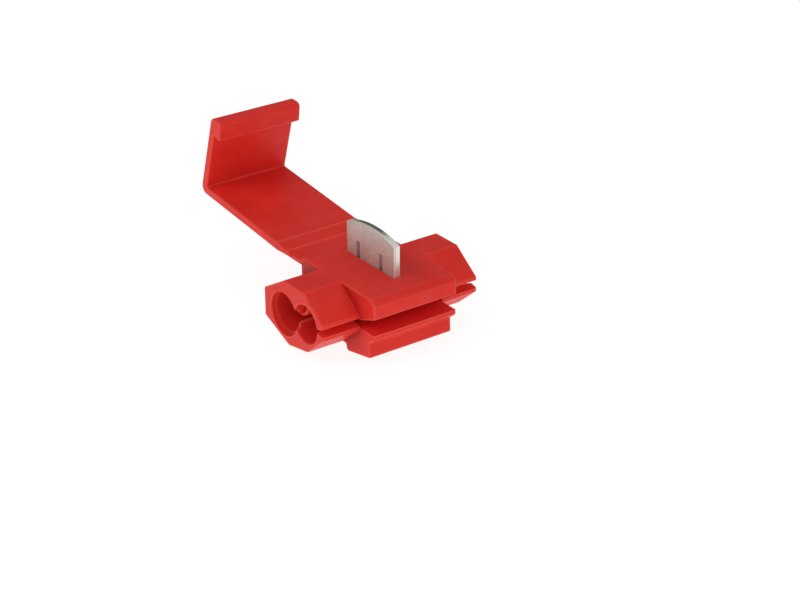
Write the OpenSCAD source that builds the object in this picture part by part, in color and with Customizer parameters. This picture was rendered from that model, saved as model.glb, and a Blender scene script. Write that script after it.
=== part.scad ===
// Wire tap connector: a housing that clips round a run wire and takes a tap wire beside it,
// a contact blade that is pressed down over both, and a cover that folds over and latches.
// It is drawn open, with the blade raised.
// Origin: on the axis of the run wire, halfway along the housing.
// X points to the mouth that the run wire enters by, Y lies along the wires, Z is up.

/* [Wires] */
// Distance between the axes of the run wire and the tap wire
wire_pitch = 4.1; // [4:0.05:4.2]
// Radius of the channel for the run wire
run_bore_r = 2.0; // [1.7:0.05:2.05]
// How far the axis of the tap wire lies below that of the run wire
tap_drop = 0.3; // [0:0.05:0.35]
// Radius of the port for the tap wire
tap_bore_r = 2.2; // [1.9:0.05:2.3]
// How much wider than the bores the recess in the end face is
lead_in = 0.25; // [0.15:0.05:0.4]
// Depth of the recess in the end face
lead_in_depth = 0.8; // [0.3:0.1:1.5]
// How far past mid-length the blind tap port reaches
tap_reach = 3.4; // [2:0.1:6]

/* [Block] */
// Length of the block, along the wires
block_len = 10.6; // [9:0.1:12]
// Thickness of the wall behind the tap port
back_wall = 1.5; // [1.2:0.1:2.5]
// Thickness of the roof over the run channel
roof = 1.5; // [1.4:0.1:2]
// Thickness of the floor under the run channel
floor_wall = 1.5; // [1.2:0.1:2]
// Reach of the upper jaw in front of the run axis
jaw_reach = 5.8; // [5.7:0.05:6]
// Width of the bevel along the upper jaw's front edge
bevel_w = 0.8; // [0.3:0.1:1.2]
// Height of the bevel along the upper jaw's front edge
bevel_h = 0.6; // [0.3:0.1:0.8]

/* [Mouth] */
// Height of the lip of the upper jaw over the run axis
mouth_lip = 1.4; // [1.2:0.05:1.6]
// Height of the throat's ceiling over the run axis
throat_top = 0.35; // [0.2:0.05:0.6]
// Depth of the throat's floor under the run axis
throat_floor = 0.55; // [0.4:0.05:0.6]
// Length of the slope from the lip to the throat
mouth_slope = 2.8; // [2.4:0.1:4]
// Reach of the latch ledge in front of the run axis
ledge_reach = 5.65; // [5.55:0.05:5.7]
// Height of the latch ledge's front
ledge_h = 0.5; // [0.4:0.05:0.6]
// How far the ledge stands out over the foot
ledge_undercut = 0.88; // [0.7:0.02:0.95]
// Rise of the slope under the ledge
ledge_slope = 0.75; // [0.6:0.05:0.85]

/* [Foot] */
// Depth of the foot's front edge under the run axis
foot_front = 3.45; // [3.2:0.05:3.55]
// Depth of the foot's heel under the run axis
foot_heel = 4.25; // [4.1:0.05:4.4]
// Place of the heel in front of the run axis
heel_x = 0.7; // [0.3:0.1:1.5]
// Setback of the heel's rear face towards its root
heel_draft = 0.3; // [0.1:0.05:0.5]

/* [Nozzles] */
// Length of the housing over both nozzles
total_len = 20; // [17:0.5:22]
// Thickness of the nozzle's outer wall beside the run channel
nozzle_wall = 1.15; // [1:0.05:1.3]
// Height of the nozzle's upper back corner
shoulder_z = 1.3; // [1:0.1:1.8]
// Depth of the nozzle's lower back corner
haunch_z = 1.95; // [1.5:0.1:2.2]
// Thickness of the wall under the tap port
keel_wall = 1.6; // [1.4:0.05:1.7]
// Place of the keel in front of the tap axis
keel_offset = 0.8; // [0.5:0.05:1.2]
// Thickness of the wall under the run channel
sole_wall = 1.2; // [1:0.05:1.3]
// Half of the flat width beside the slit
cheek_h = 0.85; // [0.7:0.05:0.95]
// Width of the slit that lets the run wire into the nozzles
slit_gap = 0.4; // [0.3:0.05:0.6]
// Height of the slit over the run axis
slit_z = 0.12; // [0:0.02:0.2]
// How much the slit widens on each side, from the channel out to its lips
slit_flare = 0.28; // [0.1:0.02:0.32]
// Radius of the moulded corners along the housing
corner_r = 0.18; // [0.1:0.02:0.2]

/* [Contact blade] */
// Thickness of the blade
blade_t = 0.8; // [0.6:0.05:1]
// Width of the blade
blade_w = 8.6; // [8.4:0.05:8.8]
// Height of the blade at its side edges
blade_h = 4.7; // [4.5:0.05:4.9]
// Rise of the arched top over the side edges
blade_arch = 0.7; // [0.4:0.05:0.9]
// Shift of the blade's middle from midway between the wires
blade_shift = 0.2; // [0:0.05:0.3]
// Height of the raised blade's side edges over the block
blade_stand = 3.54; // [3.4:0.02:3.6]
// Travel of the blade when it is pressed home
blade_travel = 3.6; // [3.4:0.05:3.7]
// Width of each wire slot
wire_slot_w = 0.55; // [0.4:0.05:0.8]
// Height of the top of the wire slots over the block
wire_slot_rise = 1.85; // [1.5:0.05:2.2]
// Width of the flare at the foot of each wire slot
slot_flare = 1.5; // [1:0.1:2]
// Clearance round the blade in its slot
blade_clear = 0.05; // [0.03:0.01:0.1]

/* [Hinge] */
// Thickness of the living hinge
film_t = 0.42; // [0.3:0.02:0.5]
// Distance from the block's back to the first fold
fold_setback = 0.85; // [0.8:0.05:0.9]
// Length of the band between the two folds
band_len = 2.15; // [2:0.05:2.3]
// Height of the hinge's middle under the block's top
hinge_drop = 0.72; // [0.6:0.02:0.9]
// Clearance at each fold line
fold_clear = 0.05; // [0.03:0.01:0.08]

/* [Cover] */
// Thickness of the cover
cover_t = 0.92; // [0.8:0.02:1]
// Length from the second fold to the inside of the end panel
strap_len = 16.4; // [16.3:0.05:16.6]
// Length over which the strap thickens from the film
strap_taper = 1.6; // [1:0.1:3]
// Angle that the strap rises at when open
open_angle = 5.8; // [4:0.2:8]
// Angle inside the bend between strap and end panel
panel_angle = 78.6; // [78:0.1:79.5]
// Length inside the end panel up to the latch hook
panel_len = 7.28; // [7.2:0.02:7.4]
// Reach of the latch hook
hook_reach = 1.26; // [1.1:0.02:1.3]
// Height of the latch hook at the panel's outer side
hook_h = 1.8; // [1.6:0.05:2]
// How much higher the hook stands at its inner side
hook_rise = 0.5; // [0.2:0.05:0.6]
// Setback of the hook's inner side towards its end
hook_lean = 0.35; // [0.1:0.05:0.5]
// Radius of the rounding on the hook
hook_r = 0.55; // [0.2:0.05:0.6]

/* [Hidden] */
$fn = 48;
cut = 1;                                    // how far a cutter runs past the face it opens

back_x = -(wire_pitch + tap_bore_r + back_wall);
top_z = run_bore_r + roof;
under_z = -(run_bore_r + floor_wall);
tap_x = -wire_pitch;
nozzle_x = run_bore_r + nozzle_wall;
foot_x = ledge_reach - ledge_undercut;

blade_x = -wire_pitch / 2 + blade_shift;
blade_top = top_z + blade_stand;
blade_foot = blade_top - blade_h;
slot_floor = blade_foot - blade_travel - 3 * blade_clear;
arch_r = (blade_w * blade_w / 4 + blade_arch * blade_arch) / (2 * blade_arch);

film_r = film_t / 2;
fold_z = top_z - hinge_drop;
fold_a_x = back_x - fold_setback;
fold_b_x = fold_a_x - band_len;

// Outlines below are in X and Z; each corner is [x, z, radius]

housing_outline = [
    [back_x, top_z, corner_r],
    [back_x, under_z, corner_r],
    [heel_x - heel_draft, under_z, corner_r],
    [heel_x, -foot_heel, corner_r],
    [foot_x + 0.1, -foot_front, 0.3],
    [foot_x, -throat_floor - ledge_h - ledge_slope, corner_r],
    [ledge_reach, -throat_floor - ledge_h, 0.12],
    [ledge_reach, -throat_floor, 0.12],
    [jaw_reach - 0.5, 0, 0],
    [jaw_reach, mouth_lip, 0.12],
    [jaw_reach, top_z - bevel_h, 0.2],
    [jaw_reach - bevel_w, top_z, 0.2],
];

nozzle_outline = [
    [back_x, shoulder_z, corner_r],
    [back_x, -haunch_z, corner_r],
    [tap_x + keel_offset, -tap_bore_r - keel_wall, corner_r],
    [0.2, -run_bore_r - sole_wall, corner_r],
    [nozzle_x, slit_z - cheek_h, corner_r],
    [nozzle_x, slit_z + cheek_h, corner_r],
    [-0.33, top_z, corner_r],
    [tap_x + 0.1, top_z, corner_r],
];

mouth_outline = [
    [0, -throat_floor],
    [jaw_reach + cut, -throat_floor],
    [jaw_reach + cut, mouth_lip + cut * (mouth_lip - throat_top) / mouth_slope],
    [jaw_reach - mouth_slope, throat_top],
    [0, throat_top],
];

lip_half = slit_gap / 2 + slit_flare * (nozzle_wall + cut) / nozzle_wall;
slit_outline = [
    [0, slit_z - slit_gap / 2],
    [run_bore_r, slit_z - slit_gap / 2],
    [nozzle_x + cut, slit_z - lip_half],
    [nozzle_x + cut, slit_z + lip_half],
    [run_bore_r, slit_z + slit_gap / 2],
    [0, slit_z + slit_gap / 2],
];

// Points of the arc that rounds corner b between its neighbours a and c
function unit(v) = v / norm(v);
function corner_arc(a, b, c) =
    let (
        p = [b[0], b[1]],
        u = unit([a[0], a[1]] - p),
        w = unit([c[0], c[1]] - p),
        half = acos(u * w) / 2,
        r = b[2],
        centre = p + unit(u + w) * r / sin(half),
        from = p + u * r / tan(half),
        to = p + w * r / tan(half),
        a0 = atan2(from[1] - centre[1], from[0] - centre[0]),
        a1 = atan2(to[1] - centre[1], to[0] - centre[0]),
        turn = a1 - a0 > 180 ? a1 - a0 - 360 : a1 - a0 < -180 ? a1 - a0 + 360 : a1 - a0,
        steps = 5
    )
    r == 0 ? [p] : [for (i = [0:steps]) centre + r * [cos(a0 + turn * i / steps), sin(a0 + turn * i / steps)]];

function rounded(points) =
    let (n = len(points))
    [for (i = [0:n - 1]) each corner_arc(points[(i + n - 1) % n], points[i], points[(i + 1) % n])];

// Extrudes an outline drawn in X and Z along the wires
module along_wires(from, to) {
    translate([0, to, 0])
        rotate([90, 0, 0])
            linear_extrude(to - from)
                children();
}

// Bore along the wires
module bore(x, z, r, from, to) {
    translate([x, from, z])
        rotate([-90, 0, 0])
            cylinder(r = r, h = to - from);
}

// The mouth runs past the block's ends only in front of the nozzles
module mouth() {
    along_wires(-block_len / 2, block_len / 2)
        polygon(mouth_outline);
    along_wires(-block_len / 2 - cut, block_len / 2 + cut)
        intersection() {
            polygon(mouth_outline);
            translate([nozzle_x + 0.02, -throat_floor])
                square(jaw_reach);
        }
}

// Lead-in of the run channel at one end, a cone that opens towards that end, and the slit beside it
module run_entry() {
    translate([0, -total_len / 2 - cut, 0])
        rotate([-90, 0, 0])
            cylinder(r = run_bore_r + lead_in, h = cut + 0.01);
    translate([0, -total_len / 2, 0])
        rotate([-90, 0, 0])
            cylinder(r1 = run_bore_r + lead_in, r2 = run_bore_r, h = lead_in_depth);
    along_wires(-total_len / 2 - cut, -block_len / 2)
        polygon(slit_outline);
}

module blade_slot() {
    slot_w = blade_w + 2 * blade_clear;
    slot_t = blade_t + 2 * blade_clear;
    translate([blade_x - slot_w / 2, -slot_t / 2, slot_floor])
        cube([slot_w, slot_t, top_z + cut - slot_floor]);
}

module hinge_root() {
    root_end = fold_a_x + film_r + fold_clear;
    along_wires(-block_len / 2, block_len / 2)
        translate([root_end, fold_z - film_r])
            square([back_x + corner_r - root_end, film_t]);
}

module housing() {
    end_y = total_len / 2;
    color("firebrick")
    difference() {
        union() {
            along_wires(-block_len / 2, block_len / 2)
                polygon(rounded(housing_outline));
            along_wires(-end_y, end_y)
                polygon(rounded(nozzle_outline));
            hinge_root();
        }
        mouth();
        bore(0, 0, run_bore_r, -end_y - cut, end_y + cut);
        bore(tap_x, -tap_drop, tap_bore_r, -end_y - cut, tap_reach);
        run_entry();
        mirror([0, 1, 0]) run_entry();
        bore(tap_x, -tap_drop, tap_bore_r + lead_in, -end_y - cut, -end_y + lead_in_depth);
        blade_slot();
    }
}

module hinge_band() {
    color("firebrick")
    along_wires(-block_len / 2, block_len / 2)
    translate([0, fold_z])
    union() {
        translate([fold_a_x, 0]) circle(r = film_r);
        translate([fold_b_x, 0]) circle(r = film_r);
        translate([fold_b_x, -film_r]) square([band_len, film_t]);
    }
}

// Corner at height h on the end panel, w out from its inner face, rounded by r
function on_panel(w, h, r) =
    let (lean = 90 - panel_angle)
    [
        strap_len + w * cos(lean) - h * sin(lean),
        cover_t / 2 + w * sin(lean) + h * cos(lean),
        r
    ];

// Cover outline from the second fold: X runs out along the strap, Y to its inner side
module cover_outline() {
    start = film_r + fold_clear;
    inner = cover_t / 2;
    lean = 90 - panel_angle;
    bend_x = strap_len + cover_t * (1 + sin(lean)) / cos(lean);
    polygon(rounded([
        [start, -film_r, 0],
        [strap_taper, -inner, 0],
        [bend_x, -inner, cover_t],
        on_panel(cover_t, panel_len + hook_h, hook_r),
        on_panel(-hook_reach + hook_lean, panel_len + hook_h + hook_rise, hook_r),
        on_panel(-hook_reach, panel_len, 0.15),
        on_panel(0, panel_len, 0.15),
        on_panel(0, 0, 0.15),
        [strap_taper, inner, 0],
        [start, film_r, 0],
    ]));
}

module cover() {
    color("firebrick")
    along_wires(-block_len / 2, block_len / 2)
        translate([fold_b_x, fold_z])
            rotate(-open_angle)
                mirror([1, 0])
                    cover_outline();
}

module wire_slot(x) {
    slot_top = top_z + wire_slot_rise;
    translate([x, 0]) {
        translate([-wire_slot_w / 2, blade_foot - cut])
            square([wire_slot_w, slot_top - blade_foot + cut]);
        polygon([
            [-slot_flare / 2, blade_foot - 0.1],
            [slot_flare / 2, blade_foot - 0.1],
            [0, blade_foot + slot_flare / 2],
        ]);
    }
}

module contact_blade() {
    color("silver")
    along_wires(-blade_t / 2, blade_t / 2)
    difference() {
        intersection() {
            translate([blade_x - blade_w / 2, blade_foot])
                square([blade_w, blade_h + blade_arch]);
            translate([blade_x, blade_top + blade_arch - arch_r])
                circle(r = arch_r, $fn = 180);
        }
        wire_slot(0);
        wire_slot(tap_x);
    }
}

housing();
hinge_band();
cover();
contact_blade();
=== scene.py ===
import math

import bmesh
import bpy
from mathutils import Matrix, Vector


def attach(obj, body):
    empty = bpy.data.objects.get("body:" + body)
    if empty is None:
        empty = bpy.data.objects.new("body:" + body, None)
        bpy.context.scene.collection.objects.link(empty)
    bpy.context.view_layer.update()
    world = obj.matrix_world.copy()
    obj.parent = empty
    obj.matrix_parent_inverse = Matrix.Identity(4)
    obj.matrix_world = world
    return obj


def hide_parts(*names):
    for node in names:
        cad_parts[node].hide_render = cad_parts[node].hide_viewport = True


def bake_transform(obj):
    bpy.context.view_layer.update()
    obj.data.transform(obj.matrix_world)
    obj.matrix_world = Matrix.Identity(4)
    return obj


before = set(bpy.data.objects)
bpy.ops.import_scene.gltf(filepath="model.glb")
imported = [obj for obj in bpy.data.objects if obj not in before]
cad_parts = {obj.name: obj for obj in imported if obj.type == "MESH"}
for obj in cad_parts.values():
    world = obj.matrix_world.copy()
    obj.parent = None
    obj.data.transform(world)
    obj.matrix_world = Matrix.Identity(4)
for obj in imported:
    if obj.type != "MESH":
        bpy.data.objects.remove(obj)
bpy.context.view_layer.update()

MM = 0.001

# ---------------------------------------------------------------- sizes, in millimetres

# the sizes that part.scad has too
WIRE_PITCH = 4.1
RUN_R = 2.0
TAP_R = 2.2
TAP_DROP = 0.3
LEAD_IN = 0.25
LEAD_IN_DEPTH = 0.8
TAP_REACH = 3.4
BLOCK_LEN = 10.6
HALF_BLOCK = BLOCK_LEN / 2
TOTAL_LEN = 20.0
END_Y = TOTAL_LEN / 2
BACK_X = -7.8
TOP_Z = 3.5
UNDER_Z = -3.5
JAW_REACH = 5.8
BEVEL_W, BEVEL_H = 0.8, 0.6
MOUTH_LIP, THROAT_TOP, THROAT_FLOOR, MOUTH_SLOPE = 1.4, 0.35, 0.55, 2.8
LEDGE_REACH, LEDGE_H, LEDGE_UNDERCUT, LEDGE_SLOPE = 5.65, 0.5, 0.88, 0.75
LEDGE_BASE = -THROAT_FLOOR - LEDGE_H - LEDGE_SLOPE
FOOT_X = LEDGE_REACH - LEDGE_UNDERCUT
FOOT_FRONT, FOOT_HEEL, HEEL_X, HEEL_DRAFT = 3.45, 4.25, 0.7, 0.3
NOZZLE_WALL = 1.15
NOZZLE_X = RUN_R + NOZZLE_WALL
SHOULDER_Z, HAUNCH_Z, CHEEK_H = 1.3, 1.95, 0.85
KEEL_OFFSET, KEEL_WALL, SOLE_X, SOLE_WALL = 0.8, 1.6, 0.2, 1.2
CREST_X, CREST_BACK = -0.33, 0.1
SLIT_GAP, SLIT_Z, SLIT_FLARE = 0.4, 0.12, 0.28
CORNER_R = 0.18
BLADE_T, BLADE_W, BLADE_H, BLADE_ARCH = 0.8, 8.6, 4.7, 0.7
BLADE_SHIFT, BLADE_STAND, BLADE_TRAVEL, BLADE_CLEAR = 0.2, 3.54, 3.6, 0.05
BLADE_X = -WIRE_PITCH / 2 + BLADE_SHIFT
BLADE_TOP = TOP_Z + BLADE_STAND
BLADE_FOOT = BLADE_TOP - BLADE_H
WIRE_SLOT_W, WIRE_SLOT_TOP, WIRE_SLOT_FLARE = 0.55, TOP_Z + 1.85, 1.5
SLOT_SPARE = 0.15
SLOT_FLOOR = BLADE_FOOT - BLADE_TRAVEL - SLOT_SPARE
FILM_T = 0.42
FOLD_Z = TOP_Z - 0.72
FOLD_A_X = BACK_X - 0.85
FOLD_B_X = FOLD_A_X - 2.15
BAND_MID = (FOLD_A_X + FOLD_B_X) / 2
COVER_T, STRAP_LEN, STRAP_TAPER, OPEN_ANGLE = 0.92, 16.4, 1.6, 5.8
PANEL_ANGLE, PANEL_LEN = 78.6, 7.28
HOOK_REACH, HOOK_H, HOOK_RISE, HOOK_LEAN, HOOK_R = 1.26, 1.8, 0.5, 0.35, 0.55

# corners of outlines, seen along the wires
BLOCK_R, HEEL_ROOT_R, TOE_R, LEDGE_R, PANEL_R = 0.25, 0.05, 0.3, 0.12, 0.15
FLARE_R, BLADE_TIP_R, BLADE_FOOT_R = 0.1, 0.12, 0.15
CORNER_STEPS, BLADE_CORNER_STEPS, ARCH_STEPS = 12, 4, 40

# edges at the two ends of each prism
BLOCK_EDGE, LEDGE_EDGE, NOZZLE_EDGE = 0.22, 0.11, 0.15
FILM_EDGE, COVER_EDGE, BLADE_EDGE = 0.08, 0.14, 0.06
EDGE_STEPS = 3

# trim of the housing: the parts of the block overlap, and each cutter runs past the face it opens
OVERLAP = 0.3
LEDGE_ROOT_X, LEDGE_ROOT_DROP, LEDGE_ROOT_BACK = 2.5, 0.4, 0.5
TOE_DRAFT = 0.1
OUT = 1.0
MOUTH_STEP = 0.02
RECESS_RIM, RECESS_R = 0.08, 0.05
RUN_RECESS = LEAD_IN * 0.6
TAP_RECESS_DEPTH = LEAD_IN_DEPTH * 0.7
TAP_RECESS_X, TAP_RECESS_Z = -WIRE_PITCH + 0.04, -TAP_DROP - 0.12
TAP_END_CHAMFER = 0.1
BORE_SIDES, BOSS_SIDES = 72, 48
BOSS_X, BOSS_Z, BOSS_R, BOSS_Y = -WIRE_PITCH / 2, 1.65, 1.6, 9.2
BOSS_EDGE, BOSS_DISH, BOSS_STEPS, BOSS_SKIN = 0.25, 0.3, 8, 0.4

# trim of the hinge: raised lines, and how far the plastic bends on each side of a fold
BEAD, BEAD_FOOT, BEAD_TOP = 0.07, 0.1, 0.04
FILM_ROOT = 0.1
BEND, BEND_STEP = 0.5, 0.1

# the groove round the blade where the burnished part of its sheared edges meets the torn part
SHEAR_Y, GROOVE_HALF, GROOVE_DEPTH = -0.18, 0.05, 0.045

NEAR = 1e-5
WELD, SHORTEST_EDGE = 2e-7, 1e-7    # in metres
SHARP_ANGLE, FACE_WEIGHT = 12, 98

# ---------------------------------------------------------------- colours, linear

RED_DEEP, RED_MID, RED_PALE = (0.74, 0.023, 0.018), (0.78, 0.028, 0.021), (0.82, 0.034, 0.025)
# the speck colour is the plastic's own; the edge colour is a painted highlight
RED_SPECK, RED_EDGE_HIGHLIGHT = (0.86, 0.050, 0.036), (0.95, 0.120, 0.082)
# the corner colour is painted shade
# the recess colour is a painted glow
RED_CORNER_SHADE, RED_RECESS_GLOW = (0.30, 0.005, 0.005), (0.91, 0.045, 0.045)
TIN_DEEP, TIN_MID, TIN_PALE = (0.56, 0.53, 0.48), (0.66, 0.63, 0.57), (0.74, 0.71, 0.65)
# the torn colour is partly the metal's own tone and partly painted shade
TIN_FLECK, TIN_SHEARED, TIN_TORN_AND_SHADE = (0.42, 0.37, 0.32), (0.82, 0.83, 0.77), (0.20, 0.21, 0.17)
# the groove colour is painted shade
# the rim colour is a painted highlight
TIN_RIM_HIGHLIGHT, TIN_GROOVE_SHADE = (0.92, 0.91, 0.85), (0.16, 0.15, 0.12)
FLOOR_DEEP, FLOOR_PALE = (0.15, 0.16, 0.16), (0.17, 0.18, 0.18)
WHITE = (1.0, 1.0, 1.0, 1)


# ---------------------------------------------------------------- shapes

def arc_corner(a, b, c, steps):
    """Points of the corner at b, which is (x, z, radius), between the corners a and c."""
    p = Vector(b[:2])
    r = b[2]
    if r == 0:
        return [p]
    u = (Vector(a[:2]) - p).normalized()
    w = (Vector(c[:2]) - p).normalized()
    half = math.acos(max(-1, min(1, u.dot(w)))) / 2
    centre = p + (u + w).normalized() * r / math.sin(half)
    start = p + u * r / math.tan(half) - centre
    end = p + w * r / math.tan(half) - centre
    a0 = math.atan2(start.y, start.x)
    turn = (math.atan2(end.y, end.x) - a0 + math.pi) % (2 * math.pi) - math.pi
    return [
        centre + r * Vector((math.cos(a0 + turn * i / steps), math.sin(a0 + turn * i / steps)))
        for i in range(steps + 1)
    ]


def rounded(points, steps=CORNER_STEPS):
    n = len(points)
    out = []
    for i in range(n):
        out += arc_corner(points[i - 1], points[i], points[(i + 1) % n], steps)
    return out


def prism(outline, y0, y1, edge=0.0):
    """Closed mesh of an outline in X and Z, from y0 to y1, its end edges rounded by edge."""
    bm = bmesh.new()
    verts = [bm.verts.new((p[0], y0, p[1])) for p in outline]
    face = bm.faces.new(verts)
    made = bmesh.ops.extrude_face_region(bm, geom=[face])
    top = [v for v in made["geom"] if isinstance(v, bmesh.types.BMVert)]
    bmesh.ops.translate(bm, vec=(0, y1 - y0, 0), verts=top)
    bmesh.ops.recalc_face_normals(bm, faces=bm.faces)
    if edge:
        ends = [e for e in bm.edges if abs(e.verts[0].co.y - e.verts[1].co.y) < NEAR]
        bmesh.ops.bevel(
            bm, geom=ends, offset=edge, segments=EDGE_STEPS, profile=0.5,
            affect="EDGES", clamp_overlap=False, offset_type="OFFSET",
        )
    return bm


def lathe(profile, x, z, sides=BORE_SIDES):
    """Closed mesh of a profile of (y, radius) turned about a line along Y through x and z."""
    bm = bmesh.new()
    rings = []
    for y, r in profile:
        rings.append([
            bm.verts.new((
                x + r * math.cos(2 * math.pi * k / sides), y,
                z + r * math.sin(2 * math.pi * k / sides),
            ))
            for k in range(sides)
        ])
    for a, b in zip(rings, rings[1:]):
        for k in range(sides):
            bm.faces.new((a[k], a[(k + 1) % sides], b[(k + 1) % sides], b[k]))
    bm.faces.new(rings[0])
    bm.faces.new(rings[-1])
    bmesh.ops.recalc_face_normals(bm, faces=bm.faces)
    return bm


def cuboid(lo, hi):
    bm = bmesh.new()
    bmesh.ops.create_cube(bm, size=1)
    for v in bm.verts:
        v.co = Vector([lo[i] + (v.co[i] + 0.5) * (hi[i] - lo[i]) for i in range(3)])
    return bm


def cut_across(bm, places, axis):
    """Adds an edge loop at each place along an axis, so that the mesh can bend or dip there."""
    for place in places:
        geom = bm.verts[:] + bm.edges[:] + bm.faces[:]
        bmesh.ops.bisect_plane(
            bm, geom=geom, plane_co=[place * n for n in axis], plane_no=axis, dist=NEAR,
        )


def to_object(name, bm):
    mesh = bpy.data.meshes.new(name)
    bm.to_mesh(mesh)
    bm.free()
    obj = bpy.data.objects.new(name, mesh)
    bpy.context.scene.collection.objects.link(obj)
    return obj


def bake(obj):
    """Puts the result of the modifiers into the object's own mesh."""
    dg = bpy.context.evaluated_depsgraph_get()
    made = bpy.data.meshes.new_from_object(obj.evaluated_get(dg))
    old = obj.data
    obj.modifiers.clear()
    obj.data = made
    bpy.data.meshes.remove(old)


def combine(target, others, how):
    for k, other in enumerate(others):
        m = target.modifiers.new(f"{how}{k}", "BOOLEAN")
        m.operation = how
        m.solver = "EXACT"
        m.object = other
    bake(target)
    for other in others:
        mesh = other.data
        bpy.data.objects.remove(other)
        bpy.data.meshes.remove(mesh)


def finish_mesh(obj):
    """Scales to metres and sets smooth shading with sharp edges kept."""
    obj.data.transform(Matrix.Scale(MM, 4))
    bm = bmesh.new()
    bm.from_mesh(obj.data)
    bmesh.ops.remove_doubles(bm, verts=bm.verts, dist=WELD)
    bmesh.ops.dissolve_degenerate(bm, edges=bm.edges, dist=SHORTEST_EDGE)
    bmesh.ops.recalc_face_normals(bm, faces=bm.faces)
    bm.to_mesh(obj.data)
    bm.free()
    for p in obj.data.polygons:
        p.use_smooth = True
    obj.data.set_sharp_from_angle(angle=math.radians(SHARP_ANGLE))
    m = obj.modifiers.new("face_normals", "WEIGHTED_NORMAL")
    m.keep_sharp = True
    m.weight = FACE_WEIGHT


# ---------------------------------------------------------------- materials

def new_material(name):
    m = bpy.data.materials.new(name)
    m.use_nodes = True
    nt = m.node_tree
    nt.nodes.clear()
    out = nt.nodes.new("ShaderNodeOutputMaterial")
    bsdf = nt.nodes.new("ShaderNodeBsdfPrincipled")
    nt.links.new(bsdf.outputs[0], out.inputs[0])
    return m, nt, bsdf


def set_inputs(node, values):
    for name, value in values.items():
        node.inputs[name].default_value = value


def feed(nt, sock, value):
    """Sets a number or a colour on a socket, or links another socket to it."""
    if isinstance(value, (int, float)):
        sock.default_value = value
    elif isinstance(value, tuple):
        sock.default_value = (*value, 1)
    else:
        nt.links.new(value, sock)


def noise(nt, coord, scale, detail=3.0, rough=0.5, stretch=None):
    n = nt.nodes.new("ShaderNodeTexNoise")
    set_inputs(n, {"Scale": scale, "Detail": detail, "Roughness": rough})
    if stretch:
        m = nt.nodes.new("ShaderNodeMapping")
        m.inputs["Scale"].default_value = stretch
        nt.links.new(coord, m.inputs["Vector"])
        coord = m.outputs[0]
    nt.links.new(coord, n.inputs["Vector"])
    return n.outputs["Fac"]


def ramp(nt, fac, stops):
    r = nt.nodes.new("ShaderNodeValToRGB")
    while len(r.color_ramp.elements) < len(stops):
        r.color_ramp.elements.new(0.5)
    for e, (pos, col) in zip(r.color_ramp.elements, stops):
        e.position = pos
        e.color = (*col, 1)
    nt.links.new(fac, r.inputs[0])
    return r.outputs[0]


def span(nt, value, start, end, low, high):
    """low up to start, high from end on, and even between them."""
    r = nt.nodes.new("ShaderNodeMapRange")
    set_inputs(r, {"From Min": start, "From Max": end, "To Min": low, "To Max": high})
    nt.links.new(value, r.inputs["Value"])
    return r.outputs[0]


def rise(nt, value, start, end, top=1.0):
    return span(nt, value, start, end, 0.0, top)


def fall(nt, value, start, end, top=1.0):
    return span(nt, value, start, end, top, 0.0)


def mix(nt, fac, a, b):
    n = nt.nodes.new("ShaderNodeMix")
    n.data_type = "RGBA"
    for sock, value in ((n.inputs[0], fac), (n.inputs[6], a), (n.inputs[7], b)):
        feed(nt, sock, value)
    return n.outputs[2]


def maths(nt, how, a, b=0.0):
    n = nt.nodes.new("ShaderNodeMath")
    n.operation = how
    for sock, value in zip(n.inputs, (a, b)):
        feed(nt, sock, value)
    return n.outputs[0]


def times(nt, a, b):
    return maths(nt, "MULTIPLY", a, b)


def bump(nt, height, strength, distance, normal=None):
    b = nt.nodes.new("ShaderNodeBump")
    set_inputs(b, {"Strength": strength, "Distance": distance})
    nt.links.new(height, b.inputs["Height"])
    if normal:
        nt.links.new(normal, b.inputs["Normal"])
    return b.outputs[0]


def separate(nt, vector):
    n = nt.nodes.new("ShaderNodeSeparateXYZ")
    nt.links.new(vector, n.inputs[0])
    return n.outputs


def edge_mask(nt, radius, low, high):
    """1 at edges and creases, 0 on flat faces: how far a rounded normal turns from the real one."""
    soft = nt.nodes.new("ShaderNodeBevel")
    soft.samples = 6
    soft.inputs["Radius"].default_value = radius
    geo = nt.nodes.new("ShaderNodeNewGeometry")
    dot = nt.nodes.new("ShaderNodeVectorMath")
    dot.operation = "DOT_PRODUCT"
    nt.links.new(soft.outputs[0], dot.inputs[0])
    nt.links.new(geo.outputs["Normal"], dot.inputs[1])
    return fall(nt, dot.outputs["Value"], low, high)


def openness(nt, distance):
    """1 on open faces, less in corners and bores of the same piece."""
    ao = nt.nodes.new("ShaderNodeAmbientOcclusion")
    ao.samples = 12
    ao.only_local = True
    ao.inputs["Distance"].default_value = distance
    return ao.outputs["AO"]


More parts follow.
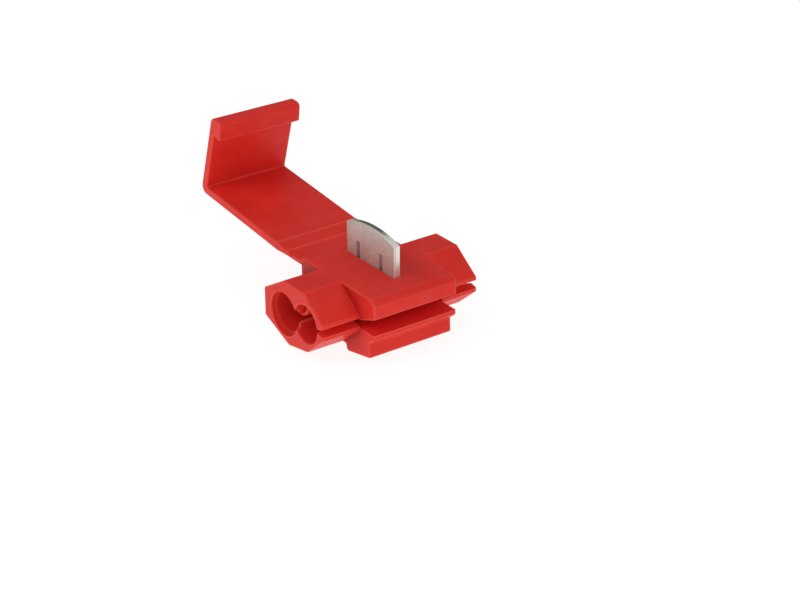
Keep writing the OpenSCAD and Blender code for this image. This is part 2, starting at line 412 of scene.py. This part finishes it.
def red_plastic():
    m, nt, bsdf = new_material("red_polypropylene")
    places = nt.nodes.new("ShaderNodeTexCoord")
    coord = places.outputs["Object"]
    cloud = noise(nt, coord, 260, 4, 0.55)
    speck = noise(nt, coord, 5200, 2, 0.6)
    flow = noise(nt, coord, 420, 3, 0.5, (0.35, 1.0, 1.0))
    base = ramp(nt, cloud, [(0.3, RED_DEEP), (0.5, RED_MID), (0.72, RED_PALE)])
    base = mix(nt, rise(nt, speck, 0.55, 0.75, 0.25), base, RED_SPECK)

    # painted highlight: paler edges, not at the seam of film and cover, and on the housing only
    # where they stand out
    edge = edge_mask(nt, 0.3 * MM, 0.95, 0.9995)
    x_place = separate(nt, coord)[0]
    from_seam = maths(nt, "ABSOLUTE", maths(nt, "SUBTRACT", x_place, BAND_MID * MM))
    edge = times(nt, edge, rise(nt, from_seam, 0.28 * MM, 0.36 * MM))
    on_cover = fall(nt, x_place, (BACK_X - 0.5) * MM, (BACK_X - 0.3) * MM)
    stands_out = rise(nt, openness(nt, 0.6 * MM), 0.72, 0.94)
    edge = times(nt, edge, maths(nt, "MAXIMUM", on_cover, stands_out))
    base = mix(nt, times(nt, edge, 0.65), base, RED_EDGE_HIGHLIGHT)

    # painted shade: a deeper tone in the corners of faces that look along the wires
    shade = openness(nt, 3.0 * MM)
    y_facing = separate(nt, places.outputs["Normal"])[1]
    on_end = rise(nt, maths(nt, "ABSOLUTE", y_facing), 0.6, 0.9)
    corner = times(nt, on_end, fall(nt, shade, 0.45, 0.92))
    base = mix(nt, times(nt, corner, 0.8), base, RED_CORNER_SHADE)

    # painted glow in the mouth and the bores, where the real plastic lets light through
    enclosed = fall(nt, shade, 0.30, 0.65)
    deep = maths(nt, "SUBTRACT", enclosed, maths(nt, "MAXIMUM", on_end, on_cover))
    base = mix(nt, times(nt, maths(nt, "MAXIMUM", deep), 0.7), base, RED_RECESS_GLOW)

    nt.links.new(base, bsdf.inputs["Base Color"])
    nt.links.new(span(nt, flow, 0.3, 0.7, 0.42, 0.54), bsdf.inputs["Roughness"])
    grain = bump(nt, noise(nt, coord, 7000, 3, 0.6), 0.10, 0.02 * MM)
    sink = bump(nt, noise(nt, coord, 330, 2, 0.5), 0.25, 0.06 * MM, grain)
    nt.links.new(sink, bsdf.inputs["Normal"])
    set_inputs(bsdf, {
        "Specular IOR Level": 0.24,
        "Specular Tint": (1.0, 0.82, 0.68, 1),
        "IOR": 1.49,
        "Subsurface Weight": 0.12,
        "Subsurface Radius": (1.0, 0.18, 0.12),
        "Subsurface Scale": 0.6 * MM,
    })
    return m


def tinned_blade():
    m, nt, bsdf = new_material("tinned_brass")
    places = nt.nodes.new("ShaderNodeTexCoord")
    coord = places.outputs["Object"]
    place = separate(nt, coord)
    facing = separate(nt, places.outputs["Normal"])

    # the sheared edges are all that doesn't face along Y: burnished up to SHEAR_Y, torn past it
    sheared = fall(nt, maths(nt, "ABSOLUTE", facing[1]), 0.45, 0.75)
    smooth_side = fall(nt, place[1], (SHEAR_Y - 0.02) * MM, (SHEAR_Y + 0.02) * MM)
    burnished = times(nt, sheared, smooth_side)

    cloud = noise(nt, coord, 420, 4, 0.6)
    rolled = noise(nt, coord, 1500, 3, 0.6, (6.0, 1.0, 0.35))
    base = ramp(nt, cloud, [(0.3, TIN_DEEP), (0.55, TIN_MID), (0.75, TIN_PALE)])
    fleck = noise(nt, coord, 4200, 2, 0.7)
    base = mix(nt, rise(nt, fleck, 0.52, 0.68, 0.45), base, TIN_FLECK)
    base = mix(nt, sheared, base, TIN_SHEARED)

    # the torn part is duller and darker, partly its own tone and partly painted shade: it stays
    # light where it faces the mouth
    torn = maths(nt, "SUBTRACT", sheared, burnished)
    dull_and_shade = times(nt, torn, fall(nt, facing[0], 0.10, 0.20))
    base = mix(nt, dull_and_shade, base, TIN_TORN_AND_SHADE)
    # painted highlight: a bright rim along the blade's edges, left off the darkened torn part
    rim = times(nt, edge_mask(nt, 0.05 * MM, 0.82, 0.99), 0.7)
    bright_rim_highlight = times(nt, rim, maths(nt, "SUBTRACT", 1.0, dull_and_shade))
    base = mix(nt, bright_rim_highlight, base, TIN_RIM_HIGHLIGHT)
    # painted shade: a darker tone in the hollows of the sheared edges, such as the groove
    geo = nt.nodes.new("ShaderNodeNewGeometry")
    hollow_shade = fall(nt, geo.outputs["Pointiness"], 0.40, 0.485, 0.8)
    base = mix(nt, times(nt, sheared, hollow_shade), base, TIN_GROOVE_SHADE)
    nt.links.new(base, bsdf.inputs["Base Color"])
    bsdf.inputs["Metallic"].default_value = 0.6

    rough = span(nt, rolled, 0.3, 0.7, 0.40, 0.58)
    rough = maths(nt, "SUBTRACT", rough, times(nt, sheared, 0.22))
    rough = maths(nt, "ADD", rough, times(nt, burnished, 0.25))
    nt.links.new(rough, bsdf.inputs["Roughness"])
    lines = bump(nt, rolled, 0.18, 0.02 * MM)
    pits = bump(nt, noise(nt, coord, 5200, 3, 0.7), 0.35, 0.04 * MM, lines)
    nt.links.new(pits, bsdf.inputs["Normal"])
    return m


RED = red_plastic()
TIN = tinned_blade()

# ---------------------------------------------------------------- housing

# the block is three prisms, so that each has its own rounding at its ends; jaw and foot meet
# inside the nozzles
block_parts = {
    "jaw_upper": (BLOCK_EDGE, [
        (BACK_X, TOP_Z, BLOCK_R),
        (BACK_X, -OVERLAP, 0),
        (JAW_REACH, -OVERLAP, 0),
        (JAW_REACH, TOP_Z - BEVEL_H, BLOCK_R),
        (JAW_REACH - BEVEL_W, TOP_Z, BLOCK_R),
    ]),
    "foot": (BLOCK_EDGE, [
        (BACK_X, OVERLAP, 0),
        (BACK_X, UNDER_Z, BLOCK_R),
        (HEEL_X - HEEL_DRAFT, UNDER_Z, HEEL_ROOT_R),
        (HEEL_X, -FOOT_HEEL, BLOCK_R),
        (FOOT_X + TOE_DRAFT, -FOOT_FRONT, TOE_R),
        (FOOT_X, LEDGE_BASE, 0),
        (FOOT_X, OVERLAP, 0),
    ]),
    "ledge": (LEDGE_EDGE, [
        (LEDGE_ROOT_X, 0, 0),
        (LEDGE_ROOT_X, LEDGE_BASE - LEDGE_ROOT_DROP, 0),
        (FOOT_X, LEDGE_BASE, CORNER_R),
        (LEDGE_REACH, -THROAT_FLOOR - LEDGE_H, LEDGE_R),
        (LEDGE_REACH, -THROAT_FLOOR, LEDGE_R),
        (JAW_REACH - LEDGE_ROOT_BACK, 0, 0),
    ]),
}
nozzle_outline = rounded([
    (BACK_X, SHOULDER_Z, CORNER_R),
    (BACK_X, -HAUNCH_Z, CORNER_R),
    (-WIRE_PITCH + KEEL_OFFSET, -TAP_R - KEEL_WALL, CORNER_R),
    (SOLE_X, -RUN_R - SOLE_WALL, CORNER_R),
    (NOZZLE_X, SLIT_Z - CHEEK_H, CORNER_R),
    (NOZZLE_X, SLIT_Z + CHEEK_H, CORNER_R),
    (CREST_X, TOP_Z, CORNER_R),
    (-WIRE_PITCH + CREST_BACK, TOP_Z, CORNER_R),
])
lip_rise = (MOUTH_LIP - THROAT_TOP) / MOUTH_SLOPE
mouth_outline = [
    (0, -THROAT_FLOOR),
    (JAW_REACH + OUT, -THROAT_FLOOR),
    (JAW_REACH + OUT, MOUTH_LIP + OUT * lip_rise),
    (JAW_REACH - MOUTH_SLOPE, THROAT_TOP),
    (0, THROAT_TOP),
]
# in front of the nozzles the mouth is open past the ends of the block too
front_x = NOZZLE_X + MOUTH_STEP
mouth_front = [
    (front_x, -THROAT_FLOOR),
    mouth_outline[1],
    mouth_outline[2],
    (front_x, THROAT_TOP + lip_rise * (front_x - JAW_REACH + MOUTH_SLOPE)),
]
lip_half = SLIT_GAP / 2 + SLIT_FLARE * (NOZZLE_WALL + OUT) / NOZZLE_WALL
slit_outline = [
    (0, SLIT_Z - SLIT_GAP / 2),
    (RUN_R, SLIT_Z - SLIT_GAP / 2),
    (NOZZLE_X + OUT, SLIT_Z - lip_half),
    (NOZZLE_X + OUT, SLIT_Z + lip_half),
    (RUN_R, SLIT_Z + SLIT_GAP / 2),
    (0, SLIT_Z + SLIT_GAP / 2),
]
blade_slot = (
    (BLADE_X - BLADE_W / 2 - BLADE_CLEAR, -BLADE_T / 2 - BLADE_CLEAR, SLOT_FLOOR),
    (BLADE_X + BLADE_W / 2 + BLADE_CLEAR, BLADE_T / 2 + BLADE_CLEAR, TOP_Z + OUT),
)


def tap_port():
    """The blind bore, and its recess, which sits a little off the bore's axis as in the photo."""
    bore = lathe([
        (-END_Y - OUT, TAP_R),
        (TAP_REACH - TAP_END_CHAMFER, TAP_R),
        (TAP_REACH, TAP_R - TAP_END_CHAMFER),
    ], -WIRE_PITCH, -TAP_DROP)
    deep = -END_Y + TAP_RECESS_DEPTH
    wide = TAP_R + LEAD_IN
    recess = lathe([
        (-END_Y - OUT, wide + RECESS_RIM + OUT),
        (-END_Y + RECESS_RIM, wide),
        (deep - RECESS_R, wide - RECESS_R),
        (deep, wide - 2 * RECESS_R),
    ], TAP_RECESS_X, TAP_RECESS_Z)
    return [to_object("cut_tap", bore), to_object("cut_recess", recess)]


def run_channel():
    """The channel from end to end, with a tapered recess at each end."""
    wide = RUN_R + RUN_RECESS
    cone = [
        (END_Y + OUT, wide + RECESS_RIM + OUT),
        (END_Y - RECESS_RIM, wide),
        (END_Y - LEAD_IN_DEPTH, RUN_R),
    ]
    return lathe([(-y, r) for y, r in cone] + cone[::-1], 0, 0)


def wire_stops():
    """Round bosses on the wall between the two channels, behind the end recesses.

    Each has a rounded rim and a dished end, and stays under the nozzle's skin.
    """
    made = []
    for side in (-1, 1):
        profile = [(side * HALF_BLOCK, BOSS_R)]
        for k in range(BOSS_STEPS + 1):
            a = math.pi / 2 * k / BOSS_STEPS
            y = BOSS_Y - BOSS_EDGE * (1 - math.sin(a))
            profile.append((side * y, BOSS_R - BOSS_EDGE * (1 - math.cos(a))))
        profile.append((side * (BOSS_Y - BOSS_DISH), BOSS_R - BOSS_EDGE - BOSS_DISH))
        boss = to_object("wire_stop", lathe(profile, BOSS_X, BOSS_Z, BOSS_SIDES))
        room = prism([(p[0], p[1] - BOSS_SKIN) for p in nozzle_outline], -END_Y, END_Y)
        combine(boss, [to_object("room", room)], "INTERSECT")
        made.append(boss)
    return made


housing = to_object("housing_shell", prism(nozzle_outline, -END_Y, END_Y, NOZZLE_EDGE))
combine(housing, [
    to_object(name, prism(rounded(corners), -HALF_BLOCK, HALF_BLOCK, edge))
    for name, (edge, corners) in block_parts.items()
], "UNION")
combine(housing, [
    to_object("cut_run", run_channel()),
    *tap_port(),
    to_object("cut_mouth", prism(mouth_outline, -HALF_BLOCK, HALF_BLOCK)),
    to_object("cut_mouth_front", prism(mouth_front, -HALF_BLOCK - OUT, HALF_BLOCK + OUT)),
    to_object("cut_slit_near", prism(slit_outline, -END_Y - OUT, -HALF_BLOCK)),
    to_object("cut_slit_far", prism(slit_outline, HALF_BLOCK, END_Y + OUT)),
    to_object("cut_blade", cuboid(*blade_slot)),
], "DIFFERENCE")
combine(housing, wire_stops(), "UNION")
finish_mesh(housing)
housing.data.materials.clear()
housing.data.materials.append(RED)
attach(housing, "housing")
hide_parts("housing")

# ---------------------------------------------------------------- hinge and cover

film_low, film_high = FOLD_Z - FILM_T / 2, FOLD_Z + FILM_T / 2


def bend_places(fold_x):
    """Where the mesh needs edges across X to bend smoothly at a fold."""
    low, high = fold_x - BEND, fold_x + BEND
    n = round((high - low) / BEND_STEP)
    return [low + (high - low) * i / n for i in range(n + 1)]


film = prism([
    (BACK_X + FILM_ROOT, film_low),
    (BACK_X + FILM_ROOT, film_high),
    (BAND_MID, film_high),
    (BAND_MID, film_low),
], -HALF_BLOCK, HALF_BLOCK, FILM_EDGE)
cut_across(film, bend_places(FOLD_A_X), (1, 0, 0))
film = to_object("hinge_film", film)
finish_mesh(film)
film.data.materials.append(RED)
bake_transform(film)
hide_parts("hinge_band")

# the cover is drawn with its strap along x and its inner face up, and then laid back at OPEN_ANGLE
lean = math.radians(90 - PANEL_ANGLE)
strap_low, strap_high = -COVER_T / 2, COVER_T / 2
strap_bead = STRAP_TAPER + 0.25


def on_panel(w, h, r):
    """Corner of radius r on the end panel: w across its thickness, h along it."""
    return (
        STRAP_LEN + w * math.cos(lean) - h * math.sin(lean),
        strap_high + w * math.sin(lean) + h * math.cos(lean),
        r,
    )


def to_part(p):
    """From the strap's own x and z to the part's."""
    turn = math.radians(OPEN_ANGLE)
    x, z = p[0], p[1]
    return (
        FOLD_B_X - x * math.cos(turn) + z * math.sin(turn),
        FOLD_Z + x * math.sin(turn) + z * math.cos(turn),
    )


cover_local = rounded([
    (STRAP_TAPER, strap_low, 0),
    (STRAP_LEN + COVER_T * (1 + math.sin(lean)) / math.cos(lean), strap_low, COVER_T),
    on_panel(COVER_T, PANEL_LEN + HOOK_H, HOOK_R),
    on_panel(-HOOK_REACH + HOOK_LEAN, PANEL_LEN + HOOK_H + HOOK_RISE, HOOK_R),
    on_panel(-HOOK_REACH, PANEL_LEN, PANEL_R),
    on_panel(0, PANEL_LEN, PANEL_R),
    on_panel(0, 0, PANEL_R),
    (strap_bead + BEAD_FOOT, strap_high, 0),
    (strap_bead + BEAD_TOP, strap_high + BEAD, 0),
    (strap_bead - BEAD_TOP, strap_high + BEAD, 0),
    (strap_bead - BEAD_FOOT, strap_high, 0),
    (STRAP_TAPER, strap_high, 0),
])
cover_outline = [
    (BAND_MID, film_low),
    (FOLD_B_X - BEAD_FOOT, film_low),
    *[to_part(p) for p in cover_local],
    (FOLD_B_X - BEAD_FOOT, film_high),
    (FOLD_B_X - BEAD_TOP, film_high + BEAD),
    (FOLD_B_X + BEAD_TOP, film_high + BEAD),
    (FOLD_B_X + BEAD_FOOT, film_high),
    (BAND_MID, film_high),
]
cover = prism(cover_outline, -HALF_BLOCK, HALF_BLOCK, COVER_EDGE)
cut_across(cover, bend_places(FOLD_B_X), (1, 0, 0))
cover = to_object("cover_shell", cover)
finish_mesh(cover)
cover.data.materials.append(RED)
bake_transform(cover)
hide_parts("cover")

# ---------------------------------------------------------------- contact blade

arch_r = (BLADE_W ** 2 / 4 + BLADE_ARCH ** 2) / (2 * BLADE_ARCH)
arch_z = BLADE_TOP + BLADE_ARCH - arch_r


def slot_points(x):
    """The slot at x, from its left foot up and round to its right foot."""
    w, f = WIRE_SLOT_W / 2, WIRE_SLOT_FLARE / 2
    return [
        (x - f, BLADE_FOOT, FLARE_R),
        (x - w, BLADE_FOOT + f - w, FLARE_R),
        (x - w, WIRE_SLOT_TOP, BLADE_TIP_R),
        (x + w, WIRE_SLOT_TOP, BLADE_TIP_R),
        (x + w, BLADE_FOOT + f - w, FLARE_R),
        (x + f, BLADE_FOOT, FLARE_R),
    ]


left, right = BLADE_X - BLADE_W / 2, BLADE_X + BLADE_W / 2
corners = [(left, BLADE_FOOT, BLADE_FOOT_R)]
corners += slot_points(-WIRE_PITCH) + slot_points(0.0)
corners += [(right, BLADE_FOOT, BLADE_FOOT_R), (right, BLADE_TOP, BLADE_TIP_R)]
for i in range(1, ARCH_STEPS):
    x = right - BLADE_W * i / ARCH_STEPS
    corners.append((x, arch_z + math.sqrt(arch_r ** 2 - (x - BLADE_X) ** 2), 0))
corners.append((left, BLADE_TOP, BLADE_TIP_R))
blade = prism(rounded(corners, BLADE_CORNER_STEPS), -BLADE_T / 2, BLADE_T / 2, BLADE_EDGE)
cut_across(blade, (SHEAR_Y - GROOVE_HALF, SHEAR_Y, SHEAR_Y + GROOVE_HALF), (0, 1, 0))
blade.normal_update()
shear = [(v, v.normal.copy()) for v in blade.verts if abs(v.co.y - SHEAR_Y) < NEAR]
for v, n in shear:
    v.co -= n * GROOVE_DEPTH
blade = to_object("blade_plate", blade)
finish_mesh(blade)
blade.data.materials.append(TIN)
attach(blade, "contact_blade")
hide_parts("contact_blade")

# ---------------------------------------------------------------- stage

FLOOR_SIZE, FLOOR_GAP, FLOOR_GLOW = 4.0, 0.02, 0.90
TENT_BACK, TENT_FRONT, TENT_ROOF = 0.22, 0.45, 0.70
TENT_FRONT_X, TENT_FRONT_Y = 0.812, -0.583      # level direction of the tent's front wall


def floor_material():
    """White and almost without a shadow, as in the photo: it gives off most of its light."""
    m, nt, bsdf = new_material("studio_floor")
    coord = nt.nodes.new("ShaderNodeTexCoord").outputs["Object"]
    base = ramp(nt, noise(nt, coord, 9, 3), [(0.3, FLOOR_DEEP), (0.7, FLOOR_PALE)])
    nt.links.new(base, bsdf.inputs["Base Color"])
    set_inputs(bsdf, {
        "Roughness": 0.85,
        "Emission Color": WHITE,
        "Emission Strength": FLOOR_GLOW,
    })
    return m


def light_tent():
    """Soft light from all round: a bright roof, a paler front wall and a dim back wall."""
    world = bpy.data.worlds.new("studio")
    bpy.context.scene.world = world
    world.use_nodes = True
    sky = world.node_tree
    bg = sky.nodes["Background"]
    axes = separate(sky, sky.nodes.new("ShaderNodeTexCoord").outputs["Generated"])
    toward_front = maths(
        sky, "ADD", times(sky, axes[0], TENT_FRONT_X), times(sky, axes[1], TENT_FRONT_Y),
    )
    walls = span(sky, toward_front, -0.3, 0.5, TENT_BACK, TENT_FRONT)
    roof_here = rise(sky, axes[2], 0.56, 0.74)
    wall_light = times(sky, walls, maths(sky, "SUBTRACT", 1.0, roof_here))
    tent = maths(sky, "ADD", wall_light, times(sky, roof_here, TENT_ROOF))
    sky.links.new(tent, bg.inputs["Strength"])
    bg.inputs["Color"].default_value = WHITE


def area_light(name, location, size, power):
    """Round soft light that looks at the origin."""
    light = bpy.data.lights.new(name, "AREA")
    light.shape = "DISK"
    light.size = size
    light.energy = power
    obj = bpy.data.objects.new(name, light)
    bpy.context.scene.collection.objects.link(obj)
    obj.location = location
    obj.rotation_mode = "QUATERNION"
    obj.rotation_quaternion = (-Vector(location)).to_track_quat("-Z", "Y")


bpy.ops.mesh.primitive_plane_add(
    size=FLOOR_SIZE, location=(0, 0, (-FOOT_HEEL - FLOOR_GAP) * MM),
)
floor = bpy.context.object
floor.name = "studio_floor"
floor.data.materials.append(floor_material())
light_tent()
area_light("key", (-0.04, -0.20, 0.21), size=0.12, power=0.125)
area_light("fill", (0.27, 0.02, 0.08), size=0.16, power=0.06)

# ---------------------------------------------------------------- camera

# fitted to the parallel edges of the part in the photo, which is 800 pixels wide
AZIMUTH, ELEVATION, ROLL = math.radians(54.33), math.radians(26.4), math.radians(-0.40)
TARGET = Vector((2.98, -0.03, 1.09)) * MM
DISTANCE = 219.92 * MM
PHOTO_WIDTH, FOCAL_PIXELS, SENSOR = 800.0, 2100.31, 36.0

back = Vector((
    math.sin(AZIMUTH) * math.cos(ELEVATION),
    -math.cos(AZIMUTH) * math.cos(ELEVATION),
    math.sin(ELEVATION),
))
level_right = Vector((math.cos(AZIMUTH), math.sin(AZIMUTH), 0))
level_up = back.cross(level_right)
cam_right = math.cos(ROLL) * level_right + math.sin(ROLL) * level_up
cam_up = -math.sin(ROLL) * level_right + math.cos(ROLL) * level_up
cam_data = bpy.data.cameras.new("camera")
cam_data.sensor_width = SENSOR
cam_data.lens = FOCAL_PIXELS * SENSOR / PHOTO_WIDTH
cam_data.clip_start = 0.01
cam_data.clip_end = 10.0
cam = bpy.data.objects.new("camera", cam_data)
bpy.context.scene.collection.objects.link(cam)
stand = Matrix((cam_right, cam_up, back)).transposed().to_4x4()
stand.translation = TARGET + back * DISTANCE
cam.matrix_world = stand
bpy.context.scene.camera = cam
bpy.context.scene.view_settings.view_transform = "Standard"
